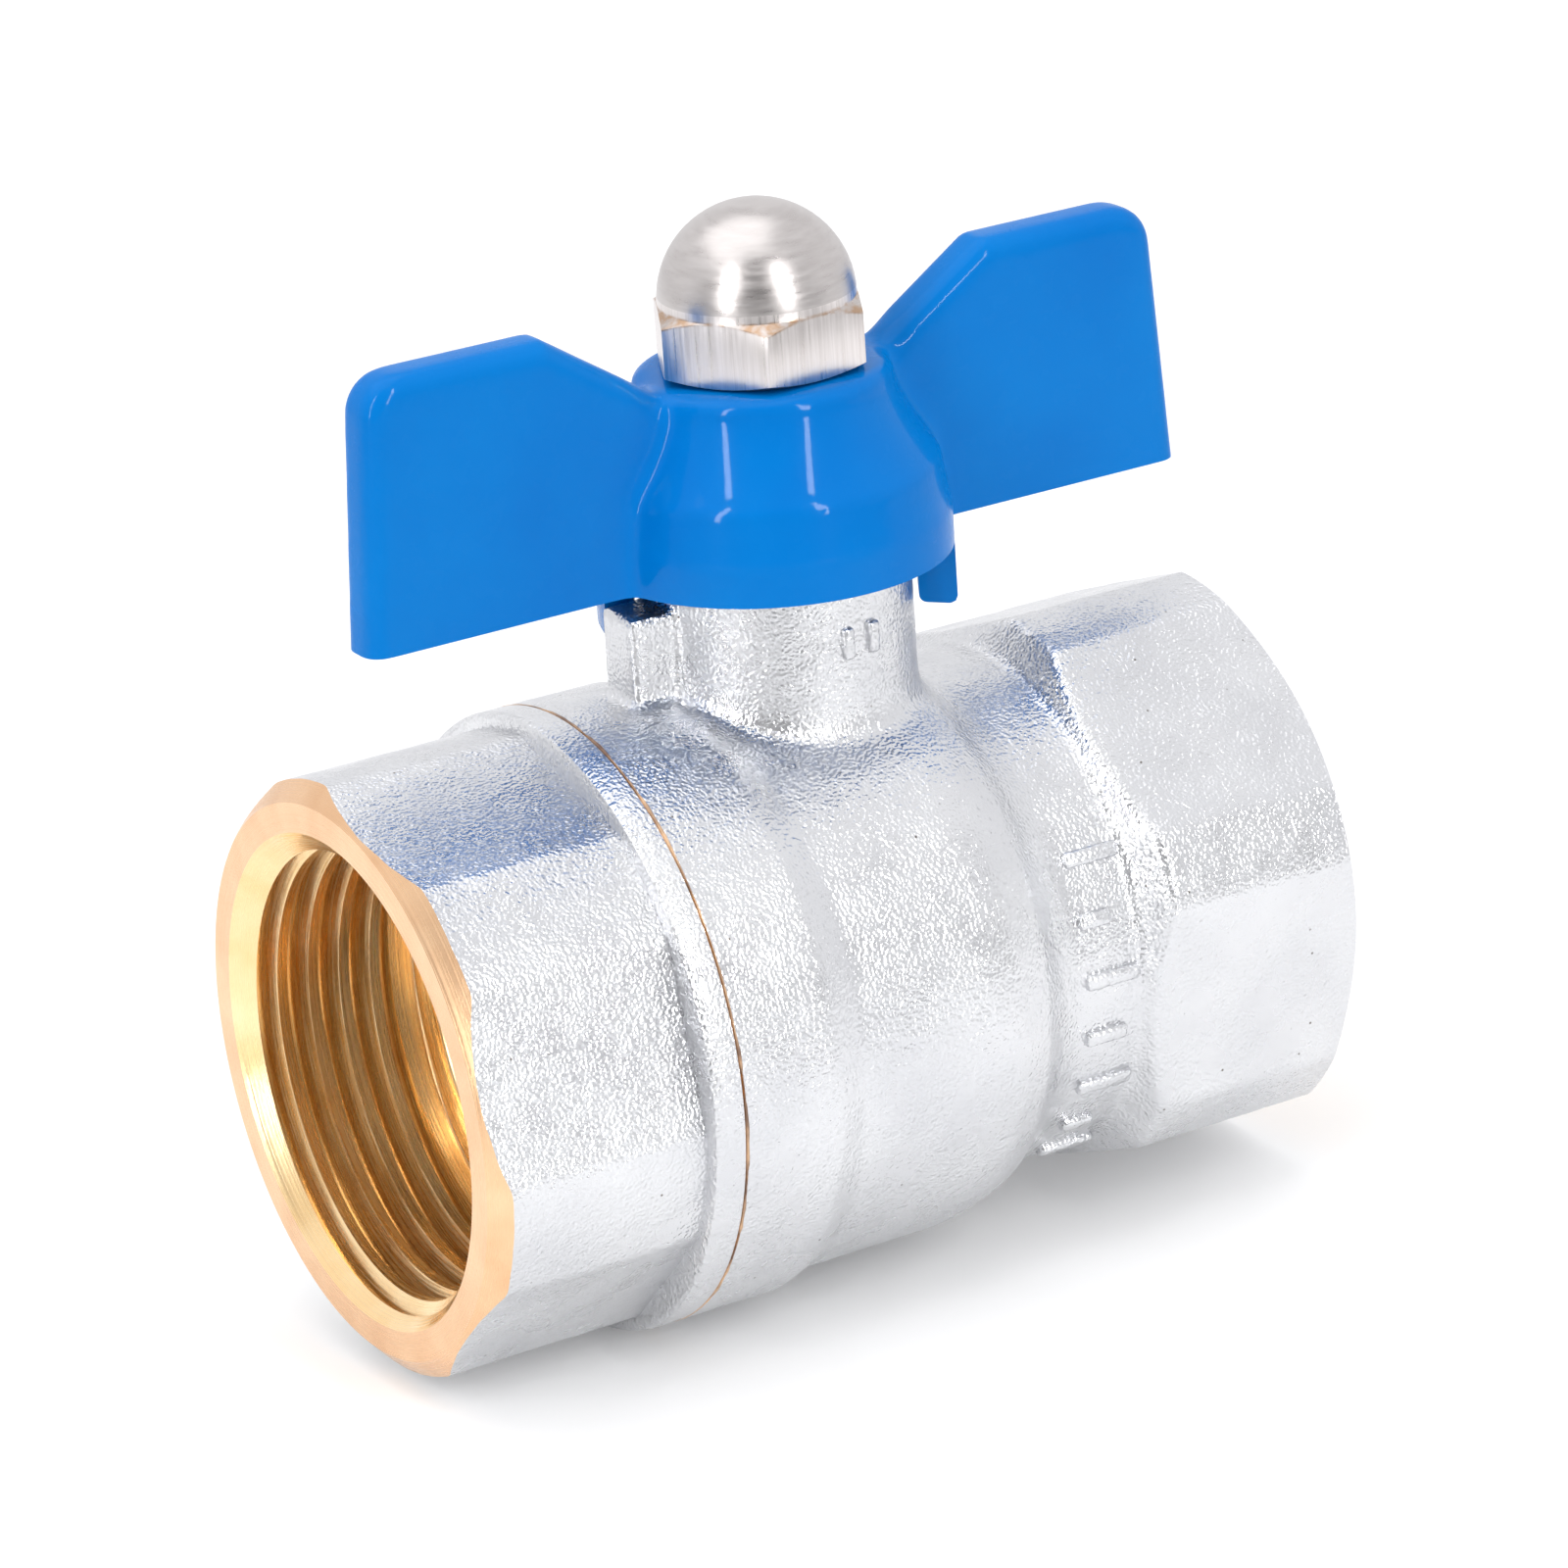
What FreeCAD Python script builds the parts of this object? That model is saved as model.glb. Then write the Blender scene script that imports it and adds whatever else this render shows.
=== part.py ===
import FreeCAD, Part
import math
import os

# Full-bore ball valve, G1 female x G1 female, butterfly handle, dome cap nut.
# Millimetres.  Origin at the ball's centre, +X downstream along the waterway,
# +Z up the stem axis.  The valve stands open: the wings lie along the flow.

Vector = FreeCAD.Vector
X_AXIS = Vector(1, 0, 0)
Z_AXIS = Vector(0, 0, 1)
CENTRE = Vector(0, 0, 0)

# ---- driving dimensions ----------------------------------------------------
# Running and assembly clearances
radial_gap = 0.05
sealing_gap = 0.05
tang_gap = 0.1
end_gap = 0.2
stop_gap = 0.3

# Ball and its two seats
ball_radius = 17.5
ball_wall = 5.5
ball_clearance = 0.48
seat_band = 2.1
seat_lip = 1.8
seat_depth = 4.7

# Pipe ends (G1 thread, bored to its minor diameter)
thread_minor_radius = 15.145
thread_length = 14.0
mouth_chamfer = 1.5
edge_break = 0.5

# Inlet connector, a hexagon with its corners turned down
inlet_wall = 3.755
inlet_corner_height = 1.05
inlet_face_drop = 0.27
inlet_end_chamfer = 1.15
inlet_corner_angle = 45.0
inlet_web = 5.25
flange_thickness = 2.4
seam_web = 1.65
seam_bevel = 0.2
spigot_wall = 3.0
mouth_wall = 1.97

# Body forging
cavity_wall = 2.2
mouth_ring_width = 7.0
step_width = 2.2
shoulder_width = 7.8
neck_wall = 1.65
neck_margin = 0.5
outlet_web = 3.55
outlet_wall = 3.255
outlet_corner_height = 1.5
outlet_face_drop = 0.5
outlet_end_chamfer = 1.3
outlet_corner_angle = 20.0
outlet_rise = 1.7

# Stem and its sealing, from the ball upwards
stem_radius = 5.0
tang_thickness = 5.0
tang_width = 11.0
slot_depth = 3.3
collar_lift = 0.3
collar_width = 1.5
collar_thickness = 1.3
washer_thickness = 0.6
groove_width = 1.6
groove_land = 0.5
o_ring_section = 1.24
packing_width = 2.0
packing_height = 3.0
gland_depth = 4.2
gland_head = 2.6

# Tower on the body, with its two stop lugs
tower_wall = 1.9
lug_width = 4.0
lug_length = 3.3
lug_drop = 1.7
closed_lug_angle = 45.0

# Handle
hub_overlap = 0.9
hub_height = 12.7
hub_roof = 3.7
hub_wall = 1.8
hub_room = 1.15
hub_shelf = 2.0
skirt_height = 2.5
crease_height = 6.1
crease_inset = 0.55
flare_inset = 1.8
wing_length = 22.3
wing_shoulder = 8.0
wing_rise = 5.3
wing_draft = 1.1
wing_thickness = 4.0
wing_edge_radius = 1.3
wing_corner_radius = 2.8
tab_room = 0.4
tab_angle = 150.0
tab_engagement = 2.6

# Cap nut and the two-flat M8 stud that it closes
stud_shoulder = 1.0
stud_flat_depth = 0.9
stud_length = 6.4
nut_wall = 2.5
nut_hex_height = 4.5
nut_edge_break = 0.6

# ---- sizes and places that follow ------------------------------------------
# Along the waterway, outwards from the ball
waterway_radius = ball_radius - ball_wall
seat_rim_radius = waterway_radius + seat_band
seat_outer_radius = seat_rim_radius + seat_lip
seat_pocket_radius = seat_outer_radius + radial_gap
seat_face_distance = math.sqrt((ball_radius + sealing_gap) ** 2 - seat_rim_radius ** 2)
seat_back = seat_face_distance + seat_depth
seam_x = -(seat_back + seam_web)
inlet_length = seat_back + inlet_web + thread_length
outlet_length = seat_back + outlet_web + thread_length
spigot_end = -(seat_face_distance - end_gap)
spigot_radius = seat_pocket_radius + spigot_wall
flange_radius = spigot_radius + radial_gap + mouth_wall
inlet_flats = 2 * (thread_minor_radius + inlet_wall)
inlet_corner_radius = inlet_flats / 2 + inlet_corner_height
inlet_face_radius = inlet_flats / 2 - inlet_face_drop
outlet_flats = 2 * (thread_minor_radius + outlet_wall)
outlet_corner_radius = outlet_flats / 2 + outlet_corner_height
outlet_face_radius = outlet_flats / 2 - outlet_face_drop
cavity_radius = ball_radius + ball_clearance
barrel_radius = cavity_radius + cavity_wall
neck_radius = seat_pocket_radius + neck_wall
neck_start = seat_face_distance
neck_end = seat_back + neck_margin
shoulder_start = neck_start - shoulder_width
step_start = seam_x + mouth_ring_width

# Up the stem, from the ball to the nut
slot_floor = ball_radius - slot_depth
collar_bottom = ball_radius + collar_lift
collar_top = collar_bottom + collar_thickness
washer_top = collar_top + washer_thickness
groove_bottom = washer_top + groove_land
groove_top = groove_bottom + groove_width
packing_floor = groove_top + groove_land
packing_top = packing_floor + packing_height
tower_top = packing_top + gland_depth
gland_top = tower_top + gland_head
handle_bottom = tower_top - hub_overlap
handle_top = handle_bottom + hub_height
stem_shoulder = handle_top - hub_roof
wing_top = handle_top + wing_rise
lug_top = handle_bottom - lug_drop
tab_bottom = lug_top - tab_engagement
nut_shoulder = handle_top + nut_hex_height

# Outwards from the stem axis
groove_radius = stem_radius + 0.4 * radial_gap - o_ring_section
collar_radius = stem_radius + collar_width
packing_radius = stem_radius + packing_width
gland_flats = 2 * packing_radius
tower_radius = packing_radius + tower_wall
lug_reach = tower_radius + lug_length
skirt_bore = tower_radius + hub_room
hub_skirt_radius = skirt_bore + hub_wall
tab_distance = tower_radius + tab_room
stud_radius = stem_radius - stud_shoulder
flat_distance = stud_radius - stud_flat_depth
nut_flats = 2 * (stud_radius + nut_wall)
hub_top_radius = nut_flats / 2 + hub_shelf
wing_inner_top = hub_top_radius + wing_shoulder
wing_tip = hub_top_radius + wing_length


# ---- helpers ---------------------------------------------------------------
def outline(points, place):
    """Closed face from points; a pair of points makes an arc through the first."""
    edges = []
    last = place(*points[0])
    first = last
    for item in points[1:]:
        if isinstance(item[0], tuple):
            middle = place(*item[0])
            end = place(*item[1])
            edges.append(Part.Arc(last, middle, end).toShape())
        else:
            end = place(*item)
            edges.append(Part.LineSegment(last, end).toShape())
        last = end
    if last.distanceToPoint(first) > 1e-6:
        edges.append(Part.LineSegment(last, first).toShape())
    return Part.Face(Part.Wire(edges))


def turned_x(points):
    """Solid turned about the flow axis from (x, radius) points."""
    face = outline(points, lambda x, r: Vector(x, 0, r))
    return face.revolve(CENTRE, X_AXIS, 360)


def turned_z(points):
    """Solid turned about the stem axis from (radius, z) points."""
    face = outline(points, lambda r, z: Vector(r, 0, z))
    return face.revolve(CENTRE, Z_AXIS, 360)


def bore_x(start, end, radius):
    return Part.makeCylinder(radius, end - start, Vector(start, 0, 0), X_AXIS)


def rod_z(bottom, top, radius):
    return Part.makeCylinder(radius, top - bottom, Vector(0, 0, bottom), Z_AXIS)


def ring_z(bottom, top, inner, outer):
    return rod_z(bottom, top, outer).cut(rod_z(bottom, top, inner))


def hexagon_x(start, end, flats, corner_angle):
    """Hexagonal bar along X; the angle runs from -Y towards +Z."""
    corner = flats / 2 / math.cos(math.radians(30))
    points = []
    for turn in range(7):
        angle = math.radians(corner_angle + 60 * turn)
        points.append(Vector(start, -corner * math.cos(angle), corner * math.sin(angle)))
    return Part.Face(Part.makePolygon(points)).extrude(Vector(end - start, 0, 0))


def hexagon_z(bottom, top, flats, corner_angle):
    corner = flats / 2 / math.cos(math.radians(30))
    points = []
    for turn in range(7):
        angle = math.radians(corner_angle + 60 * turn)
        points.append(Vector(corner * math.cos(angle), corner * math.sin(angle), bottom))
    return Part.Face(Part.makePolygon(points)).extrude(Vector(0, 0, top - bottom))


def beyond(angle, distance):
    """Everything further than a distance from the stem axis in one direction."""
    size = 60.0
    block = Part.makeBox(size, 2 * size, 2 * size, Vector(distance, -size, -size))
    block.rotate(CENTRE, Z_AXIS, angle)
    return block


def turned_copy(shape, angle):
    copy = shape.copy()
    copy.rotate(CENTRE, Z_AXIS, angle)
    return copy


def pipe_mouth(face_x, inward):
    """Cutter for a threaded pipe end: lead chamfer, then the thread's bore."""
    mouth_radius = thread_minor_radius + mouth_chamfer
    return turned_x([
        (face_x, 0),
        (face_x, mouth_radius),
        (face_x + inward * mouth_chamfer, thread_minor_radius),
        (face_x + inward * thread_length, thread_minor_radius),
        (face_x + inward * thread_length, 0),
    ])


# ---- body forging ----------------------------------------------------------
def outlet_end():
    block = hexagon_x(neck_end, outlet_length, outlet_flats, outlet_corner_angle)
    limit = turned_x([
        (neck_end, 0),
        (neck_end, neck_radius),
        (neck_end + outlet_rise, outlet_corner_radius),
        (outlet_length - outlet_end_chamfer, outlet_corner_radius),
        (outlet_length, outlet_face_radius),
        (outlet_length, 0),
    ])
    return block.common(limit)


def barrel():
    step_end = step_start + step_width
    step_middle = (step_start + step_width / 2, (flange_radius + barrel_radius) / 2)
    shoulder_bulge = (
        (shoulder_start + neck_start) / 2 + 0.9,
        (barrel_radius + neck_radius) / 2 + 0.35,
    )
    return turned_x([
        (seam_x, 0),
        (seam_x, flange_radius - seam_bevel),
        (seam_x + seam_bevel, flange_radius),
        (step_start, flange_radius),
        step_middle,
        (step_end, barrel_radius),
        (shoulder_start, barrel_radius),
        (shoulder_bulge, (neck_start, neck_radius)),
        (neck_end, neck_radius),
        (neck_end, 0),
    ])


def stop_lug():
    """Forged rib beside the tower that the handle's tabs run against."""
    root = cavity_radius
    return Part.makeBox(lug_reach, lug_width, lug_top - root, Vector(0, -lug_width / 2, root))


def tower():
    shaft = rod_z(slot_floor, tower_top, tower_radius)
    open_lug = turned_copy(stop_lug(), 180)
    closed_lug = turned_copy(stop_lug(), closed_lug_angle)
    return shaft.fuse([open_lug, closed_lug])


def body_hollows():
    """Everything machined out of the forging, from the seam to the outlet."""
    recess_start = math.sqrt(cavity_radius ** 2 - seat_pocket_radius ** 2)
    return [
        Part.makeSphere(cavity_radius),
        bore_x(spigot_end, 0, cavity_radius),
        bore_x(seam_x, spigot_end + end_gap, spigot_radius + radial_gap),
        bore_x(recess_start, seat_back, seat_pocket_radius),
        bore_x(0, outlet_length, waterway_radius),
        rod_z(0, washer_top, collar_radius + radial_gap),
        rod_z(0, tower_top, stem_radius + radial_gap),
        rod_z(packing_floor, tower_top, packing_radius),
        pipe_mouth(outlet_length, -1),
    ]


def valve_body():
    forging = barrel().fuse([outlet_end(), tower()]).removeSplitter()
    return forging.cut(body_hollows())


# ---- inlet connector -------------------------------------------------------
def end_connector():
    """Hexagonal threaded end, flanged and screwed into the body's mouth."""
    flange_x = seam_x - flange_thickness
    bar = hexagon_x(-inlet_length, seam_x, inlet_flats, inlet_corner_angle)
    limit = turned_x([
        (-inlet_length, 0),
        (-inlet_length, inlet_face_radius),
        (-inlet_length + inlet_end_chamfer, inlet_corner_radius),
        (flange_x + edge_break, inlet_corner_radius),
        (flange_x + edge_break, 0),
    ])
    flange = turned_x([
        (flange_x, 0),
        (flange_x, flange_radius - edge_break),
        (flange_x + edge_break, flange_radius),
        (seam_x - seam_bevel, flange_radius),
        (seam_x, flange_radius - seam_bevel),
        (seam_x, spigot_radius),
        (spigot_end - edge_break, spigot_radius),
        (spigot_end, spigot_radius - edge_break),
        (spigot_end, 0),
    ])
    solid = bar.common(limit).fuse(flange).removeSplitter()
    return solid.cut([
        pipe_mouth(-inlet_length, 1),
        bore_x(-inlet_length, spigot_end, waterway_radius),
        bore_x(-seat_back, spigot_end, seat_pocket_radius),
    ])


def seam_sealant():
    """Cured thread sealant that fills the bevels where connector meets body."""
    return turned_x([
        (seam_x - seam_bevel, flange_radius),
        (seam_x, flange_radius - seam_bevel),
        (seam_x + seam_bevel, flange_radius),
    ])


# ---- ball and seats --------------------------------------------------------
def ball():
    slot_height = ball_radius - slot_floor
    slot_width = tang_thickness + 2 * tang_gap
    slot = Part.makeBox(
        slot_width, 2 * ball_radius, slot_height,
        Vector(-slot_width / 2, -ball_radius, slot_floor),
    )
    waterway = bore_x(-ball_radius, ball_radius, waterway_radius)
    return Part.makeSphere(ball_radius).cut([waterway, slot])


def seat(side):
    """PTFE ring on one side of the ball, its face hollowed to the ball's curve."""
    inner = waterway_radius + 0.2
    ring = turned_x([
        (side * seat_face_distance, inner),
        (side * seat_face_distance, seat_outer_radius),
        (side * seat_back, seat_outer_radius),
        (side * seat_back, inner),
    ])
    return ring.cut(Part.makeSphere(ball_radius + sealing_gap))


# ---- stem and its sealing --------------------------------------------------
def stem():
    """Blow-out-proof stem: tang, collar, grooved shaft and a two-flat M8 stud."""
    shaft = turned_z([
        (0, collar_bottom),
        (collar_radius, collar_bottom),
        (collar_radius, collar_top),
        (stem_radius, collar_top),
        (stem_radius, groove_bottom),
        (groove_radius, groove_bottom),
        (groove_radius, groove_top),
        (stem_radius, groove_top),
        (stem_radius, stem_shoulder),
        (0, stem_shoulder),
    ])
    tang_floor = slot_floor + tang_gap
    tang = Part.makeBox(
        tang_thickness, tang_width, collar_bottom - tang_floor,
        Vector(-tang_thickness / 2, -tang_width / 2, tang_floor),
    )
    stud_top = handle_top + stud_length
    stud = rod_z(stem_shoulder, stud_top, stud_radius)
    flats = Part.makeBox(
        4 * stud_radius, 2 * flat_distance, stud_top - stem_shoulder,
        Vector(-2 * stud_radius, -flat_distance, stem_shoulder),
    )
    return shaft.fuse([tang, stud.common(flats)]).removeSplitter()


def stem_o_ring():
    section_radius = o_ring_section / 2
    middle = Vector(0, 0, (groove_bottom + groove_top) / 2)
    return Part.makeTorus(groove_radius + section_radius, section_radius, middle, Z_AXIS)


def thrust_washer():
    return ring_z(collar_top, washer_top, stem_radius + radial_gap, collar_radius)


def stem_packing():
    return ring_z(packing_floor, packing_top, stem_radius + radial_gap, packing_radius - end_gap / 10)


def gland_nut():
    """Hexagon-headed plug that squeezes the packing inside the tower."""
    head = hexagon_z(tower_top, gland_top, gland_flats, 0)
    rounding = turned_z([
        (0, tower_top),
        (gland_flats / 2, tower_top),
        (gland_flats, tower_top + gland_head / 2),
        (gland_flats / 2, gland_top),
        (0, gland_top),
    ])
    plug = rod_z(packing_top, tower_top, packing_radius - end_gap / 10)
    solid = head.common(rounding).fuse(plug).removeSplitter()
    return solid.cut(rod_z(packing_top, gland_top, stem_radius + 2 * radial_gap))


# ---- handle ----------------------------------------------------------------
def hub():
    """Straight skirt that draws in to a crease, and a flared cone above it."""
    crease = handle_bottom + crease_height
    crease_radius = hub_skirt_radius - crease_inset
    flare_top = handle_top - 1.0
    return turned_z([
        (0, handle_bottom),
        (hub_skirt_radius, handle_bottom),
        (hub_skirt_radius, handle_bottom + skirt_height),
        (crease_radius, crease),
        ((crease_radius - flare_inset, (crease + flare_top) / 2), (hub_top_radius, flare_top)),
        (hub_top_radius - 0.6, handle_top),
        (0, handle_top),
    ])


def hub_hollow():
    return turned_z([
        (0, handle_bottom),
        (skirt_bore, handle_bottom),
        (skirt_bore, handle_bottom + skirt_height + edge_break),
        (hub_top_radius - 1.5, stem_shoulder),
        (0, stem_shoulder),
    ])


def wing():
    """Flat paddle on +X: rounded tip corner, sloping shoulder down to the hub."""
    tip_top = wing_tip - wing_draft
    bend = wing_corner_radius
    turn = bend * (1 - math.sqrt(0.5))
    slope_end = hub_top_radius - 1.5
    slope = (wing_top - handle_top) / (wing_inner_top - hub_top_radius)
    profile = outline([
        (0, handle_bottom),
        (wing_tip, handle_bottom),
        (tip_top, wing_top - bend),
        ((tip_top - turn, wing_top - turn), (tip_top - bend, wing_top)),
        (wing_inner_top, wing_top),
        (slope_end, wing_top - slope * (wing_inner_top - slope_end)),
        (0, wing_top - slope * (wing_inner_top - slope_end)),
    ], lambda x, z: Vector(x, -wing_thickness / 2, z))
    blank = profile.extrude(Vector(0, wing_thickness, 0))
    rounded = []
    for edge in blank.Edges:
        middle = edge.CenterOfMass
        on_face = abs(abs(middle.y) - wing_thickness / 2) < 1e-6
        if on_face and middle.z > handle_bottom + 1e-6 and middle.x > hub_top_radius:
            rounded.append(edge)
    return blank.makeFillet(wing_edge_radius, rounded)


def stop_tab():
    """Tab under the skirt, flat inside, ending square to each lug when it meets that lug."""
    reach = lug_width / 2 + stop_gap
    drum = rod_z(tab_bottom, handle_bottom + hub_wall, hub_skirt_radius)
    plate = drum.common(beyond(tab_angle, tab_distance))
    return plate.common(beyond(90, reach)).common(beyond(closed_lug_angle + 180, reach))


def handle():
    right_wing = wing()
    left_wing = turned_copy(right_wing, 180)
    left_tab = stop_tab()
    right_tab = turned_copy(left_tab, 180)
    hole = rod_z(stem_shoulder, handle_top, stud_radius + radial_gap)
    flats = beyond(90, flat_distance + radial_gap)
    drive_hole = hole.cut([flats, turned_copy(flats, 180)])
    casting = hub().fuse([right_wing, left_wing]).cut(hub_hollow())
    return casting.fuse([left_tab, right_tab]).cut(drive_hole).removeSplitter()


# ---- cap nut ---------------------------------------------------------------
def cap_nut():
    """M8 dome nut: bevelled hexagon with a full hemisphere on top."""
    dome_radius = nut_flats / 2
    corner = nut_flats / 2 / math.cos(math.radians(30))
    top_bevel = (corner - dome_radius) * 0.6
    bend = dome_radius * math.sqrt(0.5)
    limit = turned_z([
        (0, handle_top),
        (dome_radius - edge_break, handle_top),
        (corner, handle_top + nut_edge_break),
        (corner, nut_shoulder - top_bevel),
        (dome_radius, nut_shoulder),
        (0, nut_shoulder),
    ])
    dome = turned_z([
        (0, nut_shoulder),
        (dome_radius, nut_shoulder),
        ((bend, nut_shoulder + bend), (0, nut_shoulder + dome_radius)),
    ])
    hexagon = hexagon_z(handle_top, nut_shoulder, nut_flats, 4)
    thread = rod_z(handle_top, handle_top + stud_length + 0.6, stud_radius + radial_gap)
    return hexagon.common(limit).fuse(dome).cut(thread)


# ---- the assembly ----------------------------------------------------------
parts = {
    "valve_body": valve_body(),
    "end_connector": end_connector(),
    "seam_sealant": seam_sealant(),
    "ball": ball(),
    "inlet_seat": seat(-1),
    "outlet_seat": seat(1),
    "stem": stem(),
    "stem_o_ring": stem_o_ring(),
    "thrust_washer": thrust_washer(),
    "stem_packing": stem_packing(),
    "gland_nut": gland_nut(),
    "handle": handle(),
    "cap_nut": cap_nut(),
}

os.makedirs("parts", exist_ok=True)
for name, shape in parts.items():
    if not shape.isValid():
        raise RuntimeError(name + " is not a valid solid")
    print(name, "solids", len(shape.Solids), "volume", round(shape.Volume, 1))
    shape.exportStep("parts/" + name + ".step")
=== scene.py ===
import math

import bpy
from mathutils import Matrix, Vector


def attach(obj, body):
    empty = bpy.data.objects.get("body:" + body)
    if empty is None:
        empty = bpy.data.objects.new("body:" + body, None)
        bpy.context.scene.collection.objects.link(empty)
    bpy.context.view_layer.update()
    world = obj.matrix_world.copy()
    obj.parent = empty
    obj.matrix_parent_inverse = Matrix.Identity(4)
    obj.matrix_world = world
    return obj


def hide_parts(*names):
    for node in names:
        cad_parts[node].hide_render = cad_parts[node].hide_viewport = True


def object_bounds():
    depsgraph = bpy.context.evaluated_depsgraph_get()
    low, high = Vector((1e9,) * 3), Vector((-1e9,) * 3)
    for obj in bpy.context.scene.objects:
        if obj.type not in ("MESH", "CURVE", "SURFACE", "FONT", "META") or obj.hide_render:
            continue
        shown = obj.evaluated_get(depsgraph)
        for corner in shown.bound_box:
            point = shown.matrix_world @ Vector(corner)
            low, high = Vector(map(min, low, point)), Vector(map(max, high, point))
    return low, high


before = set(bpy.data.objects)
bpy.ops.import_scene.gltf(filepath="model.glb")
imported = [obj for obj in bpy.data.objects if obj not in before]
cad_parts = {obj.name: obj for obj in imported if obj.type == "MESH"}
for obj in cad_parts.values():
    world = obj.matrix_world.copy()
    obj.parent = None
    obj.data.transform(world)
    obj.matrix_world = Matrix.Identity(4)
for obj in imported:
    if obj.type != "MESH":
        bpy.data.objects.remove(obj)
cad_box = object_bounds()


# ---- Camera ------------------------------------------------------------------
# A long lens a little above the valve, off the threaded inlet's side, with a slight lean.
# The sizes of the valve's pieces are in mm, and mm turns them into metres.
mm = 0.001
camera_azimuth = math.radians(-29.865)
camera_elevation = math.radians(20.62)
camera_lean = math.radians(-3.92)
camera_distance = 428.6 * mm
aim_right = -1.16 * mm
aim_up = 11.24 * mm
lens_length = 146.9
sensor_width = 36

back = Vector((
    math.sin(camera_azimuth) * math.cos(camera_elevation),
    -math.cos(camera_azimuth) * math.cos(camera_elevation),
    math.sin(camera_elevation),
))
level = Vector((math.cos(camera_azimuth), math.sin(camera_azimuth), 0))
upright = back.cross(level)
across = level * math.cos(camera_lean) + upright * math.sin(camera_lean)
upward = upright * math.cos(camera_lean) - level * math.sin(camera_lean)
stand = back * camera_distance + across * aim_right + upward * aim_up

lens = bpy.data.cameras.new("camera")
lens.lens = lens_length
lens.sensor_width = sensor_width
lens.clip_start = 10 * mm
camera = bpy.data.objects.new("camera", lens)
bpy.context.scene.collection.objects.link(camera)
turned = Matrix((across, upward, back)).transposed()
camera.matrix_world = Matrix.Translation(stand) @ turned.to_4x4()
bpy.context.scene.camera = camera


# ---- Floor and light ---------------------------------------------------------
# A pale table in a light tent, with an overhead softbox and two tall strips beside the camera. The
# tent's light dims towards the front of the set, a fixed direction, and the table's colour darkens
# the same way as painted shade. Near the valve the table also glows a little, a painted light that
# lifts its shadow.
# Lights and table are in metres and watts.
front = Vector((back.x, back.y, 0)).normalized()
tent_colour = (0.985, 0.985, 1.0, 1)
tent_light = 1.08
front_light = 0.34
tent_fade_start = 0.1
tent_fade_end = 0.8
table_size = 6
table_painted_shade_tone = (0.84, 0.42)
table_painted_glow = (0.08, 0.0)
painted_table_fade_start = 70 * mm
painted_table_fade_end = 170 * mm
lit_point = Vector((0, 0, 10 * mm))
overhead_place = Vector((-0.15, 0.1, 0.75))
overhead_size = 0.8
overhead_watts = 2.0
strip_ahead = 0.55
strip_aside = 0.36
strip_height = 0.12
strip_width = 0.05
strip_length = 0.6
strip_watts = 2.3

tent = bpy.data.worlds.new("tent")
tent.use_nodes = True
walls = tent.node_tree.nodes["Background"]
walls.inputs["Color"].default_value = tent_colour
direction = tent.node_tree.nodes.new("ShaderNodeTexCoord")
towards_front = tent.node_tree.nodes.new("ShaderNodeVectorMath")
towards_front.operation = "DOT_PRODUCT"
towards_front.inputs[1].default_value = front
dimming = tent.node_tree.nodes.new("ShaderNodeMapRange")
dimming.inputs["From Min"].default_value = tent_fade_start
dimming.inputs["From Max"].default_value = tent_fade_end
dimming.inputs["To Min"].default_value = tent_light
dimming.inputs["To Max"].default_value = front_light
tent.node_tree.links.new(direction.outputs["Generated"], towards_front.inputs[0])
tent.node_tree.links.new(towards_front.outputs["Value"], dimming.inputs["Value"])
tent.node_tree.links.new(dimming.outputs["Result"], walls.inputs["Strength"])
bpy.context.scene.world = tent
bpy.context.scene.view_settings.view_transform = "Standard"

bpy.ops.mesh.primitive_plane_add(size=table_size, location=(0, 0, cad_box[0][2]))
floor = bpy.context.object
floor.name = "floor"
table = bpy.data.materials.new("table_with_painted_shade_and_glow")
table.use_nodes = True
sheet = table.node_tree.nodes["Principled BSDF"]
sheet.inputs["Roughness"].default_value = 0.8
sheet.inputs["Emission Color"].default_value = (1, 1, 1, 1)
place_on_table = table.node_tree.nodes.new("ShaderNodeTexCoord")
ahead = table.node_tree.nodes.new("ShaderNodeVectorMath")
ahead.operation = "DOT_PRODUCT"
ahead.inputs[1].default_value = front
table.node_tree.links.new(place_on_table.outputs["Object"], ahead.inputs[0])
# Painted shade in the table's colour and a painted glow near the valve, both fading towards the
# front.
for socket, tones in (("Base Color", table_painted_shade_tone), ("Emission Strength", table_painted_glow)):
    painted_fading = table.node_tree.nodes.new("ShaderNodeMapRange")
    painted_fading.inputs["From Min"].default_value = painted_table_fade_start
    painted_fading.inputs["From Max"].default_value = painted_table_fade_end
    painted_fading.inputs["To Min"].default_value = tones[0]
    painted_fading.inputs["To Max"].default_value = tones[1]
    table.node_tree.links.new(ahead.outputs["Value"], painted_fading.inputs["Value"])
    table.node_tree.links.new(painted_fading.outputs["Result"], sheet.inputs[socket])
floor.data.materials.append(table)


def softbox(name, place, width, height, watts):
    """A rectangular light at a place, facing the valve."""
    light = bpy.data.lights.new(name, "AREA")
    light.shape = "RECTANGLE"
    light.size = width
    light.size_y = height
    light.energy = watts
    box = bpy.data.objects.new(name, light)
    bpy.context.scene.collection.objects.link(box)
    box.location = place
    box.rotation_euler = (lit_point - place).to_track_quat("-Z", "Y").to_euler()


softbox("overhead", overhead_place, overhead_size, overhead_size, overhead_watts)
for name, side in (("strip_left", -1), ("strip_right", 1)):
    strip_place = back * strip_ahead + level * side * strip_aside + Vector((0, 0, strip_height))
    softbox(name, strip_place, strip_width, strip_length, strip_watts)


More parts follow.
